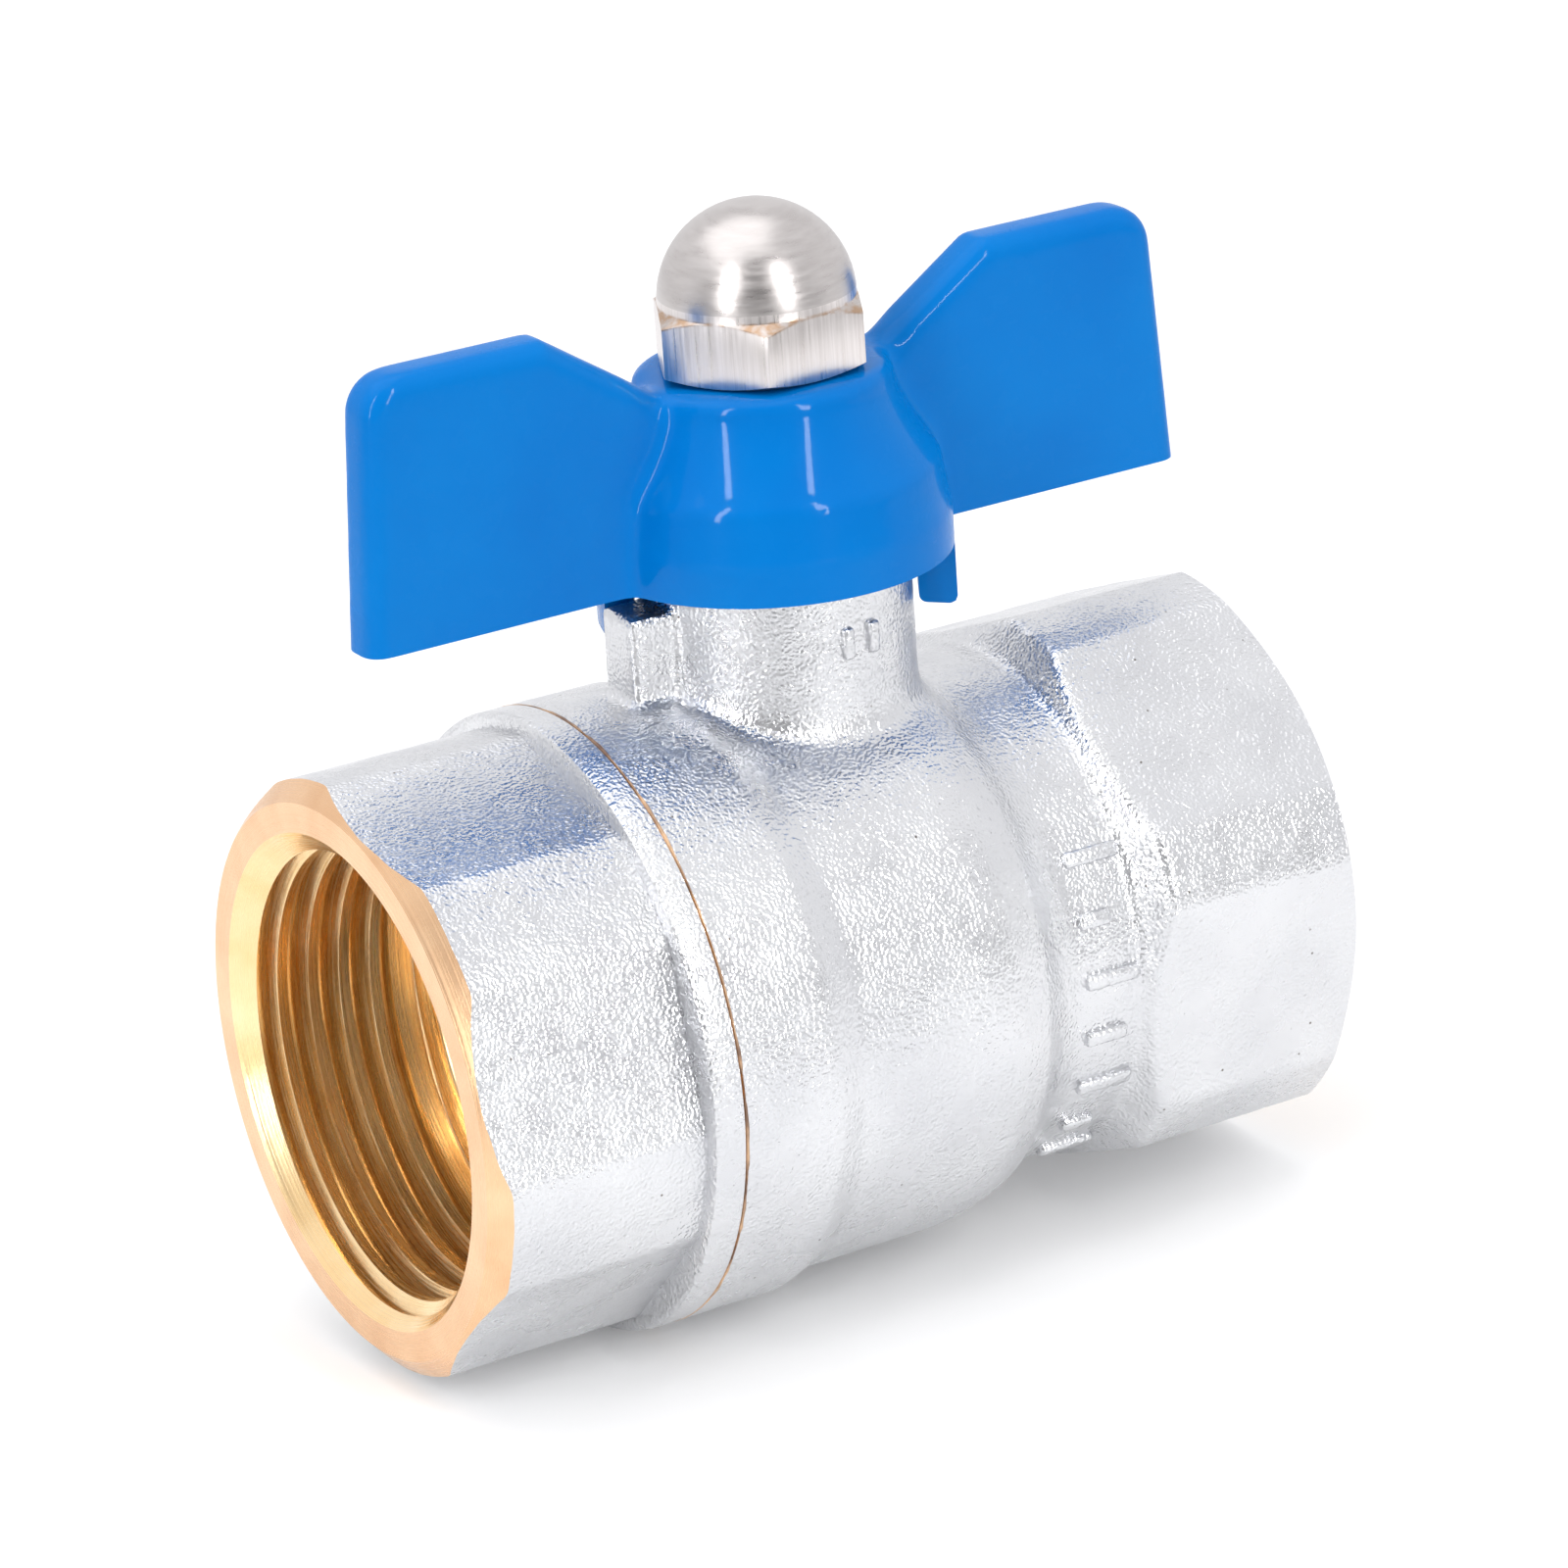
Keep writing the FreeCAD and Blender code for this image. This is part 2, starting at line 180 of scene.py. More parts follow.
# ---- Inlet connector ---------------------------------------------------------
# A hot-forged brass hexagon with a round flange, shot-blasted and plated all over.
# It is then faced, bored, threaded and turned down bare, and screws into the body.
inlet_face = -34.4
inlet_flats = 37.8
inlet_corner_radius = 19.95
inlet_corner_angle = 45
inlet_face_radius = 18.63
inlet_chamfer = 1.15
flange_start = -19.2
flange_radius = 20.97
flange_edge = 0.45
flange_edge_middle = 0.13
seam = -16.8
spigot_end = -10.25
spigot_radius = 18.95
bevel = 0.2
thread_pitch = 2.309
thread_minor = 15.145
thread_major = 16.62
thread_length = 14.0
tap_lead = 0.9
tap_stop = 2.0
relief_length = 2.2
relief_lead = 0.6
relief_radius = thread_major - 0.2
mouth_chamfer = 1.5
waterway_radius = 12.0
seat_back = 15.15
seat_pocket_radius = 15.95
forging_excess = 1.2
forging_voxel = 0.36
forging_rounds = 2
forging_waviness = 0.10
skin_grain = 2.2
clear_radius = 26
sharp_angle = 40


def draw_outline(name, points, place):
    """Draws a line point by point; place turns each pair of sizes in mm into a position."""
    bpy.ops.object.select_all(action="DESELECT")
    bpy.ops.mesh.primitive_plane_add(size=mm, location=(0, 0, 0))
    piece = bpy.context.object
    piece.name = name
    bpy.ops.object.mode_set(mode="EDIT")
    bpy.ops.mesh.select_all(action="SELECT")
    bpy.ops.mesh.merge(type="CENTER")
    last = place(*points[0]) * mm
    bpy.ops.transform.translate(value=last)
    for point in points[1:]:
        here = place(*point) * mm
        bpy.ops.mesh.extrude_vertices_move(TRANSFORM_OT_translate={"value": here - last})
        last = here
    bpy.ops.mesh.select_all(action="SELECT")
    return piece


def weld():
    """Merges what meets and turns every face outwards, then leaves edit mode."""
    bpy.ops.mesh.select_all(action="SELECT")
    bpy.ops.mesh.remove_doubles(threshold=1e-6)
    bpy.ops.mesh.normals_make_consistent(inside=False)
    bpy.ops.object.mode_set(mode="OBJECT")


def turn_along_x(name, points, steps=144):
    """Turns an outline of (x, radius) points about the waterway."""
    piece = draw_outline(name, points, lambda x, r: Vector((x, 0, r)))
    bpy.ops.mesh.spin(steps=steps, angle=math.tau, center=(0, 0, 0), axis=(1, 0, 0))
    weld()
    return piece


def use(piece, kind, **settings):
    """Adds a modifier to a piece and applies it."""
    bpy.ops.object.select_all(action="DESELECT")
    piece.select_set(True)
    bpy.context.view_layer.objects.active = piece
    modifier = piece.modifiers.new(kind, kind)
    for setting, value in settings.items():
        setattr(modifier, setting, value)
    bpy.ops.object.modifier_apply(modifier=modifier.name)


def combine(piece, other, operation):
    """Joins, cuts or trims a piece by another one, which is used up."""
    use(
        piece, "BOOLEAN", object=other, operation=operation, solver="EXACT",
        material_mode="TRANSFER",
    )
    bpy.data.objects.remove(other)


def hexagon_along_x(name, start, end, flats, corner_angle):
    """A hexagonal bar; the corner's angle runs from the front upwards."""
    bpy.ops.object.select_all(action="DESELECT")
    bpy.ops.mesh.primitive_cylinder_add(
        vertices=6,
        radius=flats / 2 / math.cos(math.radians(30)) * mm,
        depth=(end - start) * mm,
        location=((start + end) / 2 * mm, 0, 0),
        rotation=(0, math.radians(90), 0),
    )
    bar = bpy.context.object
    bar.name = name
    bpy.ops.object.transform_apply(location=True, rotation=True, scale=True)
    first = min(bar.data.vertices, key=lambda vertex: vertex.co.x).co
    now = math.atan2(first.z, -first.y)
    bar.data.transform(Matrix.Rotation(now - math.radians(corner_angle), 4, "X"))
    return bar


def finish_all(piece, finish):
    """Leaves one material on a piece, over all its faces."""
    piece.data.materials.clear()
    piece.data.materials.append(finish)
    for face in piece.data.polygons:
        face.material_index = 0


def forge(piece):
    """Gives a blank the soft corners and slightly uneven skin of a hot forging."""
    use(piece, "REMESH", mode="VOXEL", voxel_size=forging_voxel * mm)
    use(piece, "SMOOTH", factor=0.5, iterations=forging_rounds)
    skin = bpy.data.textures.new(piece.name + "_skin", "CLOUDS")
    skin.noise_scale = skin_grain * mm
    use(
        piece, "DISPLACE", texture=skin, strength=forging_waviness * mm, mid_level=0.5,
        texture_coords="LOCAL",
    )


def cut_thread(name, start, end):
    """A tap's cutting form: the thread's tooth swept along its helix, closed at both ends."""
    middle = thread_pitch / 2
    tooth = [
        (0, thread_minor - 0.3),
        (middle - 0.86, thread_minor - 0.12),
        (middle - 0.72, thread_minor + 0.1),
        (middle - 0.17, thread_major - 0.18),
        (middle, thread_major - 0.02),
        (middle + 0.17, thread_major - 0.18),
        (middle + 0.72, thread_minor + 0.1),
        (middle + 0.86, thread_minor - 0.12),
        (thread_pitch, thread_minor - 0.3),
    ]
    shifted = [(start + along, radius) for along, radius in tooth]
    tap = draw_outline(name, shifted, lambda x, r: Vector((x, 0, r)))
    bpy.ops.object.mode_set(mode="OBJECT")
    use(
        tap, "SCREW", axis="X", steps=96, render_steps=96, screw_offset=thread_pitch * mm,
        iterations=round((end - start) / thread_pitch), use_merge_vertices=True,
        merge_threshold=1e-6,
    )
    bpy.ops.object.mode_set(mode="EDIT")
    bpy.ops.mesh.select_all(action="SELECT")
    bpy.ops.mesh.remove_doubles(threshold=1e-6)
    bpy.ops.mesh.select_all(action="DESELECT")
    bpy.ops.mesh.select_non_manifold()
    bpy.ops.mesh.fill_holes(sides=0)
    weld()
    return tap


def start_finish(name, colour, metallic, roughness):
    """A new material with its plain values set, its node tree and its shader."""
    finish = bpy.data.materials.new(name)
    finish.use_nodes = True
    tree = finish.node_tree
    shader = tree.nodes["Principled BSDF"]
    shader.inputs["Base Color"].default_value = (*colour, 1)
    shader.inputs["Metallic"].default_value = metallic
    shader.inputs["Roughness"].default_value = roughness
    return finish, tree, shader


def add_node(tree, kind, settings=None, **sockets):
    """A node with its choices and its unlinked sockets set."""
    node = tree.nodes.new(kind)
    for setting, value in (settings or {}).items():
        setattr(node, setting, value)
    for socket, value in sockets.items():
        node.inputs[socket].default_value = value
    return node


def add_noise(tree, coordinates, size, detail=2.0):
    """Noise whose features are about the given size in mm."""
    noise = add_node(tree, "ShaderNodeTexNoise", Scale=1 / (size * mm), Detail=detail)
    tree.links.new(coordinates, noise.inputs["Vector"])
    return noise.outputs["Fac"]


def shade_between(tree, amount, low, high, start=0.3, end=0.7):
    """A colour that runs from low to high as an amount goes from start to end."""
    ramp = add_node(tree, "ShaderNodeValToRGB")
    ramp.color_ramp.elements[0].position = start
    ramp.color_ramp.elements[0].color = (*low, 1)
    ramp.color_ramp.elements[1].position = end
    ramp.color_ramp.elements[1].color = (*high, 1)
    tree.links.new(amount, ramp.inputs["Fac"])
    return ramp.outputs["Color"]


def range_between(tree, amount, low, high, start=0.3, end=0.7):
    """A number that runs from low to high as an amount goes from start to end."""
    span = add_node(tree, "ShaderNodeMapRange")
    span.inputs["From Min"].default_value = start
    span.inputs["From Max"].default_value = end
    span.inputs["To Min"].default_value = low
    span.inputs["To Max"].default_value = high
    tree.links.new(amount, span.inputs["Value"])
    return span.outputs["Result"]


def roughen(tree, shader, height, depth, strength=1.0, below=None):
    """Raises the surface by a height pattern, depth in mm, over any pattern below it."""
    bump = add_node(tree, "ShaderNodeBump", Strength=strength, Distance=depth * mm)
    tree.links.new(height, bump.inputs["Height"])
    if below is not None:
        tree.links.new(below, bump.inputs["Normal"])
    tree.links.new(bump.outputs["Normal"], shader.inputs["Normal"])
    return bump.outputs["Normal"]


def plated_forging():
    """Satin nickel-chrome plate over a shot-blasted skin: grainy, with a few dark pits."""
    finish, tree, shader = start_finish("plated_forging", (0.67, 0.68, 0.70), 1.0, 0.3)
    coordinates = add_node(tree, "ShaderNodeTexCoord").outputs["Object"]
    cloudy = add_noise(tree, coordinates, 9.0, 3.0)
    plate = shade_between(tree, cloudy, (0.63, 0.635, 0.655), (0.72, 0.725, 0.74))
    pits = add_node(tree, "ShaderNodeTexVoronoi", Scale=1 / (2.6 * mm), Randomness=1.0)
    tree.links.new(coordinates, pits.inputs["Vector"])
    pit_colour = (0.22, 0.19, 0.16)
    pit_tint = shade_between(
        tree, pits.outputs["Distance"], pit_colour, (1, 1, 1), 0.02, 0.045)
    mixed = add_node(tree, "ShaderNodeMix", {"data_type": "RGBA", "blend_type": "MULTIPLY"})
    mixed.inputs[0].default_value = 1.0
    tree.links.new(plate, mixed.inputs[6])
    tree.links.new(pit_tint, mixed.inputs[7])
    tree.links.new(mixed.outputs[2], shader.inputs["Base Color"])
    patchy = add_noise(tree, coordinates, 3.0)
    tree.links.new(range_between(tree, patchy, 0.23, 0.34), shader.inputs["Roughness"])
    dents = roughen(tree, shader, add_noise(tree, coordinates, 0.8, 1.0), 0.045)
    roughen(tree, shader, add_noise(tree, coordinates, 0.23, 0.5), 0.09, below=dents)
    return finish


def turned_brass(name, dark, light, ring_depth):
    """Bare brass straight from the lathe: fine rings that follow the tool round the bore."""
    finish, tree, shader = start_finish(name, light, 1.0, 0.24)
    coordinates = add_node(tree, "ShaderNodeTexCoord").outputs["Object"]
    split = add_node(tree, "ShaderNodeSeparateXYZ")
    tree.links.new(coordinates, split.inputs[0])
    across_y = add_node(tree, "ShaderNodeMath", {"operation": "MULTIPLY"})
    across_z = add_node(tree, "ShaderNodeMath", {"operation": "MULTIPLY"})
    for socket in (0, 1):
        tree.links.new(split.outputs["Y"], across_y.inputs[socket])
        tree.links.new(split.outputs["Z"], across_z.inputs[socket])
    squared = add_node(tree, "ShaderNodeMath", {"operation": "ADD"})
    tree.links.new(across_y.outputs[0], squared.inputs[0])
    tree.links.new(across_z.outputs[0], squared.inputs[1])
    radius = add_node(tree, "ShaderNodeMath", {"operation": "SQRT"})
    tree.links.new(squared.outputs[0], radius.inputs[0])
    around = add_node(tree, "ShaderNodeCombineXYZ")
    tree.links.new(split.outputs["X"], around.inputs["X"])
    tree.links.new(radius.outputs[0], around.inputs["Y"])
    rings = add_noise(tree, around.outputs[0], 0.16, 2.0)
    cloudy = add_noise(tree, coordinates, 4.0, 3.0)
    tone = shade_between(tree, cloudy, dark, light)
    tree.links.new(tone, shader.inputs["Base Color"])
    tree.links.new(range_between(tree, rings, 0.16, 0.36), shader.inputs["Roughness"])
    marks = roughen(tree, shader, rings, ring_depth)
    roughen(tree, shader, add_noise(tree, coordinates, 0.5), 0.01, below=marks)
    return finish


forging_finish = plated_forging()
# Painted light: the turned brass of bores and threads gets a lighter colour than the faced ends'
# brass, to brighten their shaded insides.
brass_with_painted_light = turned_brass("turned_brass", (0.90, 0.62, 0.31), (0.96, 0.73, 0.43), 0.014)
faced_finish = turned_brass("faced_brass", (0.76, 0.465, 0.265), (0.85, 0.565, 0.345), 0.004)

bar = hexagon_along_x(
    "connector_forging", inlet_face - forging_excess, seam, inlet_flats, inlet_corner_angle)
corner_limit = turn_along_x("corner_limit", [
    (inlet_face - forging_excess - 1, 0),
    (inlet_face - forging_excess - 1, inlet_corner_radius),
    (seam + 1, inlet_corner_radius),
    (seam + 1, 0),
])
combine(bar, corner_limit, "INTERSECT")
forge(bar)
finish_all(bar, forging_finish)
flange = turn_along_x("flange", [
    (flange_start, 0),
    (flange_start, flange_radius - flange_edge),
    (flange_start + flange_edge_middle, flange_radius - flange_edge_middle),
    (flange_start + flange_edge, flange_radius),
    (spigot_end + forging_excess, flange_radius),
    (spigot_end + forging_excess, 0),
], 256)
flange.data.materials.append(forging_finish)
combine(bar, flange, "UNION")


def machine(piece, name, outline, finish=brass_with_painted_light):
    """Cuts a turned outline out of a forging and leaves bare brass, or another finish, there."""
    cutter = turn_along_x(name, outline)
    cutter.data.materials.append(finish)
    combine(piece, cutter, "DIFFERENCE")


def face_outline(face, inward, edge_radius, corner_radius, edge_length):
    """The facing cut: the flat end and the turned chamfer that runs on outwards."""
    slope = (corner_radius - edge_radius) / edge_length
    run_on = 3
    outside = 30
    ahead_of_face = face - inward * 4
    return [
        (face, 0),
        (face, edge_radius),
        (face + inward * run_on, edge_radius + run_on * slope),
        (face + inward * run_on, outside),
        (ahead_of_face, outside),
        (ahead_of_face, 0),
    ]


def bore_outline(face, inward, far_points):
    """The mouth's lead chamfer, the thread's bore, its relief groove, then what follows."""
    run_on = 2
    bore_floor = face + inward * thread_length
    relief_start = bore_floor - inward * relief_length
    return [
        (face - inward * run_on, 0),
        (face - inward * run_on, thread_minor + mouth_chamfer + run_on),
        (face + inward * mouth_chamfer, thread_minor),
        (relief_start - inward * relief_lead, thread_minor),
        (relief_start, relief_radius),
        (bore_floor, relief_radius),
        (bore_floor, waterway_radius),
    ] + far_points


inlet_end = face_outline(inlet_face, 1, inlet_face_radius, inlet_corner_radius, inlet_chamfer)
machine(bar, "inlet_facing", inlet_end, faced_finish)
spigot_edge = 0.5
past_spigot = spigot_end + 4
machine(bar, "spigot_turning", [
    (seam - bevel, clear_radius),
    (seam - bevel, flange_radius),
    (seam, flange_radius - bevel),
    (seam, spigot_radius),
    (spigot_end - spigot_edge, spigot_radius),
    (spigot_end, spigot_radius - spigot_edge),
    (spigot_end, 0),
    (past_spigot, 0),
    (past_spigot, clear_radius),
    (seam - bevel, clear_radius),
])
past_pocket = spigot_end + 3
machine(bar, "inlet_boring", bore_outline(inlet_face, 1, [
    (-seat_back, waterway_radius),
    (-seat_back, seat_pocket_radius),
    (past_pocket, seat_pocket_radius),
    (past_pocket, 0),
]))
inlet_tap = cut_thread(
    "inlet_tap", inlet_face - tap_lead, inlet_face + thread_length - tap_stop)
inlet_tap.data.materials.append(brass_with_painted_light)
combine(bar, inlet_tap, "DIFFERENCE")


def settle(piece, sharpest):
    """Smooths the shading up to an angle and leaves the piece ready to mount."""
    bpy.ops.object.select_all(action="DESELECT")
    piece.select_set(True)
    bpy.context.view_layer.objects.active = piece
    bpy.ops.object.shade_smooth_by_angle(angle=math.radians(sharpest))


settle(bar, sharp_angle)
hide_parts("end_connector")
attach(bar, "body")


# ---- Body --------------------------------------------------------------------
# A second forging, plated the same: a mouth that takes the connector, a barrel over the
# ball, a neck with raised casting marks, a hexagonal outlet, and the stem's tower.
barrel_radius = 20.18
step_start = -9.8
step_end = -7.6
shoulder_start = 2.65
neck_start = 10.45
neck_radius = 17.6
neck_end = 15.65
outlet_face = 32.7
outlet_flats = 36.8
outlet_corner_radius = 19.9
outlet_corner_angle = 20
outlet_face_radius = 17.9
outlet_rise = 1.7
outlet_chamfer = 1.6
outlet_chamfer_radius = outlet_face_radius - 0.4
outlet_chamfer_start = outlet_face + 0.3
cavity_radius = 17.98
cavity_clearance = 0.05
collar_bore = 6.55
collar_top = 19.7
stem_hole = 5.05
gland_floor = 22.2
gland_bore = 7
tower_radius = 8.9
tower_draft = 0.15
tower_root = 12
tower_top = 29.4
lug_reach = 12.2
lug_width = 4.0
lug_root = 14
lug_top = 26.8
closed_lug_angle = 45
fillet_rounds = 60
fillet_strength = 1.6
fillet_reach = 2.2
first_mark = 62
mark_spacing = 13.5
mark_height = 0.45
mark_depth = 2
mark_edge = 0.3
stroke_lengths = (4.2, 2.4, 4.2, 3.2, 4.2, 2.4, 4.2)
stroke_width = 1.1
stroke_centre = (neck_start + neck_end) / 2 + 0.2
pip_size = (2, 0.9, 2.2)
pip_place = 24.4
pip_angles = (-91, -78)

body = turn_along_x("body_forging", [
    (seam - forging_excess, 0),
    (seam - forging_excess, flange_radius),
    (step_start, flange_radius),
    ((step_start + step_end) / 2, (flange_radius + barrel_radius) / 2),
    (step_end, barrel_radius),
    (shoulder_start, barrel_radius),
    (shoulder_start + 2.2, barrel_radius - 0.22),
    (shoulder_start + 4.6, barrel_radius - 1.0),
    (shoulder_start + 6.4, neck_radius + 0.45),
    (neck_start, neck_radius),
    (neck_end + 1, neck_radius),
    (neck_end + 1, 0),
])
outlet = hexagon_along_x(
    "outlet", neck_end - 0.1, outlet_face + forging_excess, outlet_flats, outlet_corner_angle)
outlet_limit = turn_along_x("outlet_limit", [
    (neck_end - 1, 0),
    (neck_end - 1, neck_radius - 1),
    (neck_end, neck_radius),
    (neck_end + outlet_rise, outlet_corner_radius),
    (outlet_face + forging_excess + 1, outlet_corner_radius),
    (outlet_face + forging_excess + 1, 0),
])
combine(outlet, outlet_limit, "INTERSECT")
combine(body, outlet, "UNION")


def turn_along_z(name, points, steps=96):
    """Turns an outline of (radius, z) points about the stem."""
    piece = draw_outline(name, points, lambda r, z: Vector((r, 0, z)))
    bpy.ops.mesh.spin(steps=steps, angle=math.tau, center=(0, 0, 0), axis=(0, 0, 1))
    weld()
    return piece


def block(name, size, centre, turn=0.0, axis="Z"):
    """A square block of a size in mm at a centre, turned about the waterway or the stem."""
    bpy.ops.object.select_all(action="DESELECT")
    bpy.ops.mesh.primitive_cube_add(size=1)
    piece = bpy.context.object
    piece.name = name
    place = Matrix.Rotation(math.radians(turn), 4, axis) @ Matrix.Translation(Vector(centre) * mm)
    piece.data.transform(place @ Matrix.Diagonal((*(Vector(size) * mm), 1)))
    return piece


tower = turn_along_z("tower", [
    (0, tower_root),
    (tower_radius + tower_draft, tower_root),
    (tower_radius, tower_top + forging_excess),
    (0, tower_top + forging_excess),
])
combine(body, tower, "UNION")
for lug_angle in (180, closed_lug_angle):
    lug_height = lug_top - lug_root
    lug_centre = (lug_reach / 2, 0, lug_top - lug_height / 2)
    lug = block("lug", (lug_reach, lug_width, lug_height), lug_centre, lug_angle)
    combine(body, lug, "UNION")


def soften(piece, rounds, closeness):
    """Rounds one part of a forging; closeness gives each point's share, from 0 to 1."""
    group = piece.vertex_groups.new(name="fillet")
    for vertex in piece.data.vertices:
        share = closeness(vertex.co / mm)
        if share > 0:
            group.add([vertex.index], min(share, 1), "REPLACE")
    use(piece, "SMOOTH", factor=0.5, iterations=rounds, vertex_group="fillet")
    piece.vertex_groups.clear()


def near_tower_foot(point):
    """How close a point in mm is to where the tower meets the barrel, away from the lug."""
    from_tower = abs(math.hypot(point.x, point.y) - tower_radius)
    from_barrel = abs(math.hypot(point.y, point.z) - barrel_radius)
    by_lug = point.x < -tower_radius and abs(point.y) < lug_width
    if point.z <= 0 or by_lug:
        return 0
    return fillet_strength - max(from_tower, from_barrel) / fillet_reach


def add_mark(mark, axis, turn):
    """Rounds a small block, turns it into place and joins it to the forging."""
    use(mark, "BEVEL", width=mark_edge * mm, segments=3, limit_method="ANGLE")
    mark.data.transform(Matrix.Rotation(math.radians(turn), 4, axis))
    mark.data.materials.append(forging_finish)
    combine(body, mark, "UNION")


forge(body)
soften(body, fillet_rounds, near_tower_foot)
finish_all(body, forging_finish)

# Plain raised strokes and pips stand where a foundry casts its marks, on neck and tower.
sunk = mark_height - mark_depth / 2
for number, length in enumerate(stroke_lengths):
    stroke_x = stroke_centre - (stroke_lengths[0] - length) / 2
    stroke = block(
        "stroke", (length, stroke_width, mark_depth), (stroke_x, 0, neck_radius + sunk))
    add_mark(stroke, "X", first_mark + number * mark_spacing)
for pip_angle in pip_angles:
    add_mark(block("pip", pip_size, (tower_radius + sunk, 0, pip_place)), "Z", pip_angle)

forged_end = face_outline(
    outlet_chamfer_start, -1, outlet_chamfer_radius, outlet_corner_radius, outlet_chamfer)
machine(body, "outlet_chamfer", forged_end, forging_finish)
past_outlet = outlet_face + 4
machine(body, "outlet_facing", [
    (outlet_face, 0),
    (outlet_face, clear_radius),
    (past_outlet, clear_radius),
    (past_outlet, 0),
], faced_finish)
cavity_mouth = spigot_end + 0.2
cavity_entry = spigot_radius + cavity_clearance
cavity_swing = 60
sphere_points = []
for degrees in range(0, cavity_swing + 1, 4):
    swing = math.radians(degrees)
    sphere_points.append((cavity_radius * math.sin(swing), cavity_radius * math.cos(swing)))
machine(body, "cavity_boring", [
    (seam - 4, 0),
    (seam - 4, clear_radius),
    (seam, clear_radius),
    (seam, flange_radius - bevel),
    (seam, cavity_entry),
    (cavity_mouth, cavity_entry),
    (cavity_mouth, cavity_radius),
] + sphere_points + [
    (cavity_radius * math.sin(math.radians(cavity_swing)), seat_pocket_radius),
    (seat_back, seat_pocket_radius),
    (seat_back, 0),
])
machine(body, "outlet_boring", bore_outline(outlet_face, -1, [
    (seat_back - 1, waterway_radius),
    (seat_back - 1, 0),
]))
outlet_tap = cut_thread(
    "outlet_tap", outlet_face - thread_length + tap_stop, outlet_face + tap_lead)
outlet_tap.data.materials.append(brass_with_painted_light)
combine(body, outlet_tap, "DIFFERENCE")
stem_bore = turn_along_z("stem_bore", [
    (0, 10),
    (collar_bore, 10),
    (collar_bore, collar_top),
    (stem_hole, collar_top),
    (stem_hole, gland_floor),
    (gland_bore, gland_floor),
    (gland_bore, tower_top),
    (14, tower_top),
    (14, 34),
    (0, 34),
])
stem_bore.data.materials.append(brass_with_painted_light)
combine(body, stem_bore, "DIFFERENCE")
settle(body, sharp_angle)
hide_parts("valve_body")
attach(body, "body")


# ---- Seam sealant ------------------------------------------------------------
# A hairline of cured brown thread sealant squeezed out between connector and body.
# It is uneven, thick in places and almost gone in others.
sealant_radius = 0.1
sealant_inset = 0.08
sealant_swell = 0.2
sealant_patch = 1.6


def cured_sealant():
    """Dry brown paste, blotched dark and light."""
    finish, tree, shader = start_finish("cured_sealant", (0.36, 0.2, 0.1), 0.0, 0.45)
    coordinates = add_node(tree, "ShaderNodeTexCoord").outputs["Object"]
    blotches = add_noise(tree, coordinates, 2.5, 3.0)
    tint = shade_between(tree, blotches, (0.62, 0.40, 0.24), (0.16, 0.09, 0.06), 0.35, 0.62)
    tree.links.new(tint, shader.inputs["Base Color"])
    roughen(tree, shader, add_noise(tree, coordinates, 0.2), 0.03)
    return finish


bpy.ops.object.select_all(action="DESELECT")
bpy.ops.mesh.primitive_torus_add(
    major_radius=(flange_radius - sealant_inset) * mm,
    minor_radius=sealant_radius * mm,
    major_segments=512,
    minor_segments=8,
    location=(seam * mm, 0, 0),
    rotation=(0, math.radians(90), 0),
)
sealant = bpy.context.object
sealant.name = "sealant_bead"
bpy.ops.object.transform_apply(location=True, rotation=True, scale=True)
ooze = bpy.data.textures.new("ooze", "CLOUDS")
ooze.noise_scale = sealant_patch * mm
use(
    sealant, "DISPLACE", texture=ooze, strength=sealant_swell * mm, mid_level=0.55,
    texture_coords="LOCAL",
)
sealant.data.materials.append(cured_sealant())
settle(sealant, 60)
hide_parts("seam_sealant")
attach(sealant, "body")


# ---- Ball --------------------------------------------------------------------
# A brass ball, hard chromed and polished, with the full bore through it and a slot
# across its top for the stem's tang. It floats between the two seats.
ball_radius = 17.5
ball_flat = 13.9
ball_edge = 1.1
slot_floor = 14.2
slot_width = 5.2
slot_height = 8


def polished_chrome():
    """Hard chrome with a slight haze."""
    finish, tree, shader = start_finish("polished_chrome", (0.86, 0.87, 0.88), 1.0, 0.08)
    coordinates = add_node(tree, "ShaderNodeTexCoord").outputs["Object"]
    haze = add_noise(tree, coordinates, 5.0, 4.0)
    tree.links.new(range_between(tree, haze, 0.05, 0.14), shader.inputs["Roughness"])
    tone = shade_between(tree, haze, (0.82, 0.83, 0.85), (0.90, 0.90, 0.91))
    tree.links.new(tone, shader.inputs["Base Color"])
    roughen(tree, shader, add_noise(tree, coordinates, 0.4), 0.002)
    return finish


bpy.ops.object.select_all(action="DESELECT")
bpy.ops.mesh.primitive_uv_sphere_add(
    segments=128, ring_count=96, radius=ball_radius * mm, rotation=(0, math.radians(90), 0))
ball = bpy.context.object
ball.name = "polished_ball"
bpy.ops.object.transform_apply(location=True, rotation=True, scale=True)
ball.data.materials.append(polished_chrome())
waterway = turn_along_x("waterway", [
    (-20, 0),
    (-20, waterway_radius + 3),
    (-ball_flat, waterway_radius + ball_edge),
    (-12, waterway_radius),
    (12, waterway_radius),
    (ball_flat, waterway_radius + ball_edge),
    (20, waterway_radius + 3),
    (20, 0),
])
combine(ball, waterway, "DIFFERENCE")
slot_centre = (0, 0, slot_floor + slot_height / 2)
tang_slot = block("tang_slot", (slot_width, 40, slot_height), slot_centre)
combine(ball, tang_slot, "DIFFERENCE")
settle(ball, 30)
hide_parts("ball")
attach(ball, "ball")


